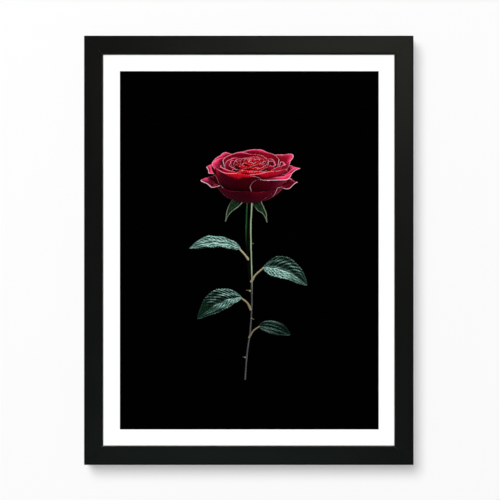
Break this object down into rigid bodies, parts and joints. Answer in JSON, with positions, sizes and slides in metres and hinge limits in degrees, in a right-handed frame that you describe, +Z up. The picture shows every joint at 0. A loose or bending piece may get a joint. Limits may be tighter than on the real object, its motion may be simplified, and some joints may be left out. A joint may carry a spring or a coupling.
{
  "type": "framed art print",
  "caption": "Portrait wall frame of black wooden rails with glass over a white-bordered flower print, backing board, flexible points and a toothed hanger.",
  "frame": {"origin": "the wall nail's place: the middle notch of the toothed hanger, on the plane of the wall", "axes": "the picture faces -Y, the wall is the plane y = 0, +Z is up and +X is to the right seen from the front"},
  "size_m": [0.33, 0.028, 0.43],
  "materials": {
    "black_wood": "satin black stain on fine-grained wood, bare in the rebate",
    "glass": "clear float glass",
    "print_paper": "smooth white poster paper, printed with a crimson rose on black inside a white border",
    "fibreboard": "raw brown fibreboard",
    "zinc_steel": "bright zinc plating",
    "dark_steel": "plain spring steel",
    "pad_rubber": "matt dark rubber"
  },
  "bodies": {
    "root": {"rail_top": "black_wood", "rail_right": "black_wood", "rail_bottom": "black_wood", "rail_left": "black_wood", "glass": "glass", "print_sheet": "print_paper", "backing_board": "fibreboard", "point_top_1": "dark_steel", "point_top_2": "dark_steel", "point_top_3": "dark_steel", "point_right_1": "dark_steel", "point_right_2": "dark_steel", "point_right_3": "dark_steel", "point_right_4": "dark_steel", "point_bottom_1": "dark_steel", "point_bottom_2": "dark_steel", "point_bottom_3": "dark_steel", "point_left_1": "dark_steel", "point_left_2": "dark_steel", "point_left_3": "dark_steel", "point_left_4": "dark_steel", "v_nail_top_right_1": "dark_steel", "v_nail_top_right_2": "dark_steel", "v_nail_bottom_right_1": "dark_steel", "v_nail_bottom_right_2": "dark_steel", "v_nail_bottom_left_1": "dark_steel", "v_nail_bottom_left_2": "dark_steel", "v_nail_top_left_1": "dark_steel", "v_nail_top_left_2": "dark_steel", "hanger_plate": "zinc_steel", "hanger_screw_left": "zinc_steel", "hanger_screw_right": "zinc_steel", "wall_pad_top_left": "pad_rubber", "wall_pad_top_right": "pad_rubber", "wall_pad_bottom_left": "pad_rubber", "wall_pad_bottom_right": "pad_rubber"}
  },
  "joints": []
}
